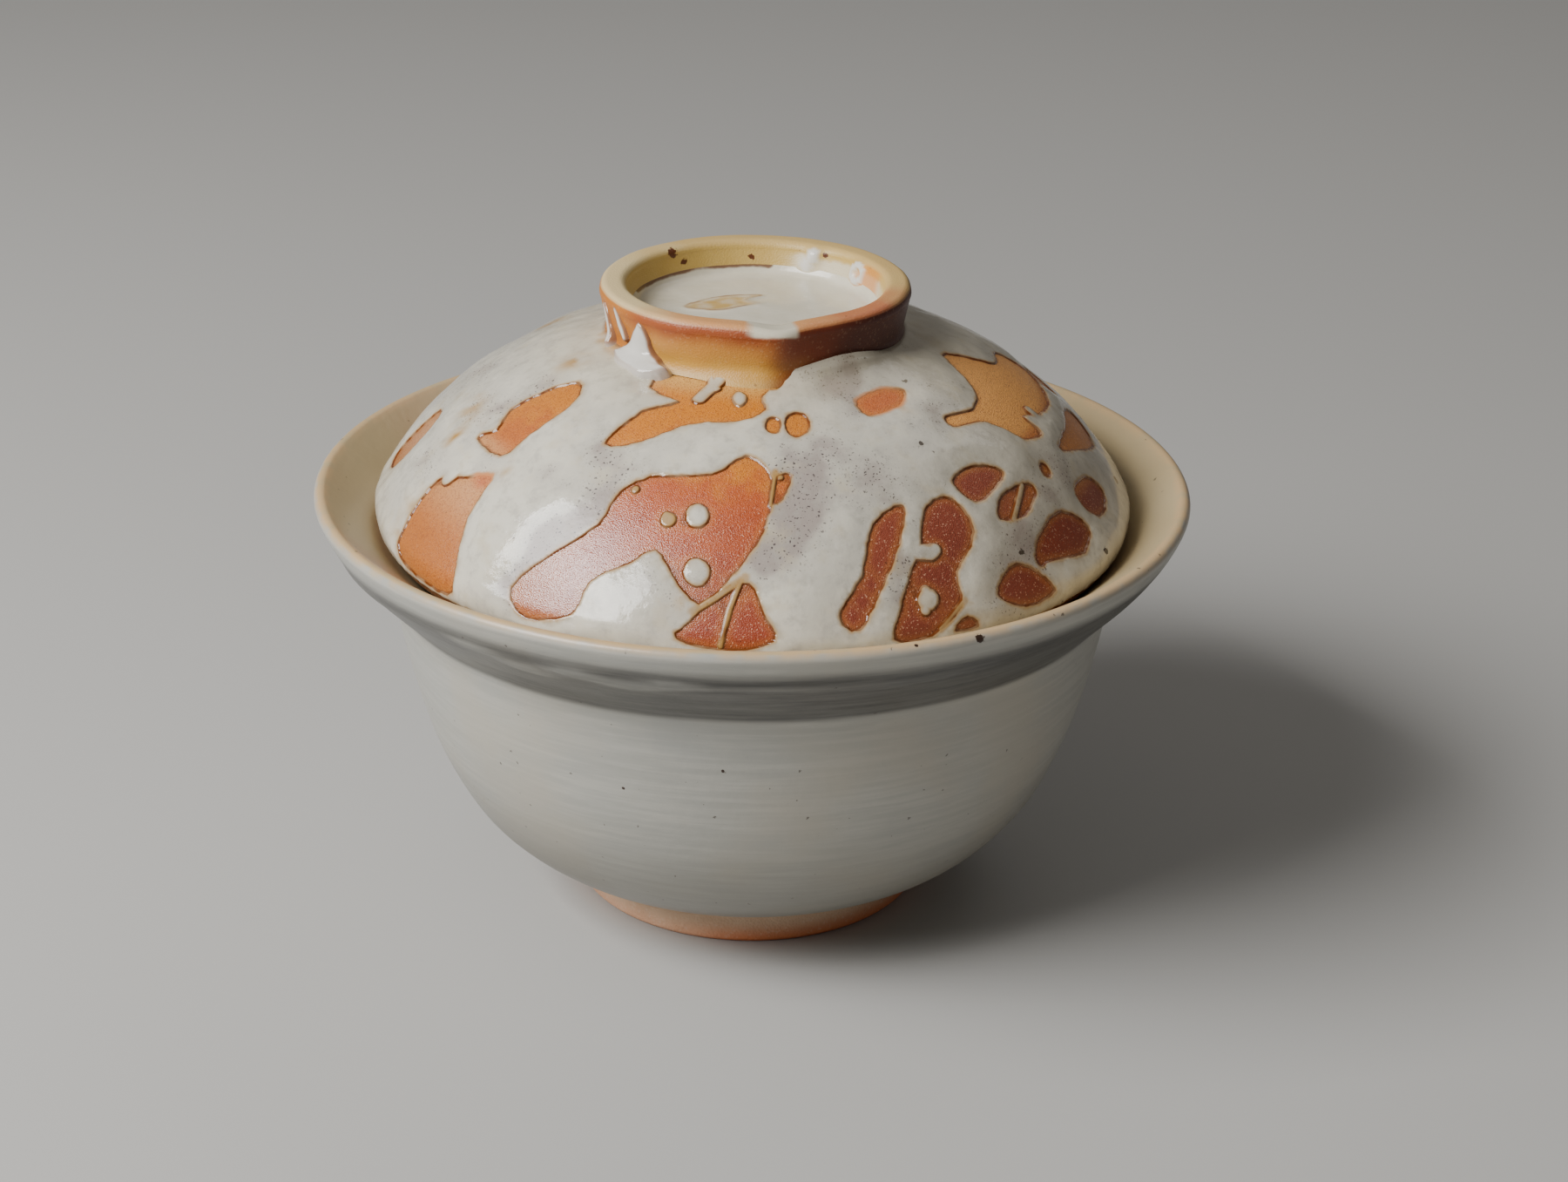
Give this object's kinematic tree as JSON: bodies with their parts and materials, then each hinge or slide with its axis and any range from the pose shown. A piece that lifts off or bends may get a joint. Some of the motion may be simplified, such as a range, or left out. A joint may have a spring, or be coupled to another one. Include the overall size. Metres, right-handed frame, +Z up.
{
  "type": "lidded bowl",
  "caption": "Glazed stoneware bowl with a flared rim and turned foot ring, under a lift-off domed lid whose ring grip also serves as its foot.",
  "frame": {"origin": "middle of the foot ring's standing face, on the table", "axes": "+Z up along the axis on which the bowl and lid are turned; -Y is the front, the side in the picture; +X is to the right"},
  "size_m": [0.13, 0.13, 0.0954],
  "materials": {
    "bowl_clay": "fired stoneware clay, matt",
    "foot_clay": "bare toasted stoneware, matt",
    "bowl_glaze": "satin warm grey glaze with iron specks",
    "lid_clay": "bare flashed orange clay, gritty",
    "ring_clay": "flashed clay under a thin cream glaze",
    "lid_coat": "thick white crawled glaze, glossy",
    "ring_pool": "pooled cream glaze, glossy",
    "lid_lining": "satin warm grey glaze"
  },
  "bodies": {
    "bowl": {"bowl_body": "bowl_clay", "bowl_foot_ring": "foot_clay", "bowl_glaze": "bowl_glaze"},
    "lid": {"lid_dome": "lid_clay", "lid_ring": "ring_clay", "lid_glaze": "lid_coat", "lid_ring_glaze": "ring_pool", "lid_lining": "lid_lining"}
  },
  "joints": [
    {"name": "lid_lift", "type": "slide", "parent": "bowl", "child": "lid", "axis": [0, 0, 1], "range_m": [0, 0.06]}
  ]
}
